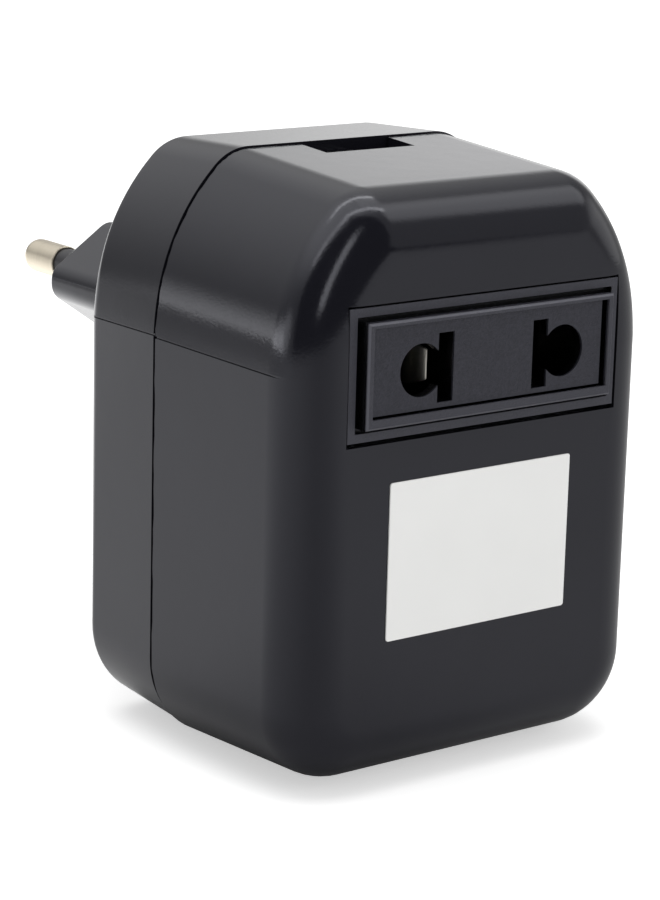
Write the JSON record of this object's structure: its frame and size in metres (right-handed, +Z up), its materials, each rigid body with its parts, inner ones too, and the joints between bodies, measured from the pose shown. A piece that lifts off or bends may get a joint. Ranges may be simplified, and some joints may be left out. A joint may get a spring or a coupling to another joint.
{
  "type": "travel voltage converter",
  "caption": "Plug-in travel voltage converter: domed two-part housing, two-pole outlet in front, two sleeved pins on a hexagonal boss behind, slide selector in the top rim.",
  "frame": {"origin": "centre of the bounding box's bottom face, under the middle of the object", "axes": "+Z up, +Y from the outlet face to the tips of the plug pins, +X to the right as one looks at the outlet"},
  "size_m": [0.0492, 0.076, 0.0652],
  "materials": {
    "shell_black": "black moulded plastic, finely textured, a soft sheen on the shoulders",
    "outlet_black": "black moulded plastic, matte",
    "label_white": "bare white film label, satin",
    "selector_black": "black moulded plastic",
    "selector_sheet": "steel sheet, black finish",
    "phenolic_brown": "brown phenolic board",
    "nickel_brass": "nickel plated, bright",
    "tinned_wire": "tinned copper wire",
    "sleeve_black": "black insulating sleeve",
    "zinc_steel": "zinc plated",
    "core_steel": "silicon steel laminations, varnished",
    "bobbin_nylon": "natural nylon",
    "copper_enamel": "enamelled copper wire",
    "tape_yellow": "polyester film tape",
    "fuse_white": "moulded cut-out body",
    "card_grey": "pressed insulating card",
    "lead_black": "soft insulation, black",
    "lead_white": "soft insulation, white",
    "lead_red": "soft insulation, red",
    "lead_blue": "soft insulation, blue"
  },
  "bodies": {
    "housing": {"front_shell": "shell_black", "rear_shell": "shell_black", "socket_frame": "outlet_black", "socket_face": "outlet_black", "socket_body": "outlet_black", "rating_label": "label_white", "selector_cover": "selector_sheet", "selector_base": "phenolic_brown", "pin_retainer": "phenolic_brown", "plug_pin_left": "nickel_brass", "plug_pin_right": "nickel_brass", "socket_contact_left": "nickel_brass", "socket_contact_right": "nickel_brass", "selector_terminals": "nickel_brass", "transformer_tags": "nickel_brass", "selector_links": "tinned_wire", "pin_sleeve_left": "sleeve_black", "pin_sleeve_right": "sleeve_black", "case_screws": "zinc_steel", "retainer_screw": "zinc_steel", "core_e_stack": "core_steel", "core_i_stack": "core_steel", "bobbin": "bobbin_nylon", "low_winding": "copper_enamel", "high_winding": "copper_enamel", "winding_tape": "tape_yellow", "thermal_fuse": "fuse_white", "insulation_card": "card_grey", "lead_input_live": "lead_black", "lead_output_live": "lead_black", "lead_input_neutral": "lead_white", "lead_output_neutral": "lead_white", "lead_tap_low": "lead_red", "lead_tap_high": "lead_blue"},
    "selector": {"selector_slider": "selector_black", "selector_bridges": "nickel_brass"}
  },
  "joints": [
    {"name": "selector_slide", "type": "slide", "parent": "housing", "child": "selector", "axis": [1, 0, 0], "range_m": [0, 0.004]}
  ]
}
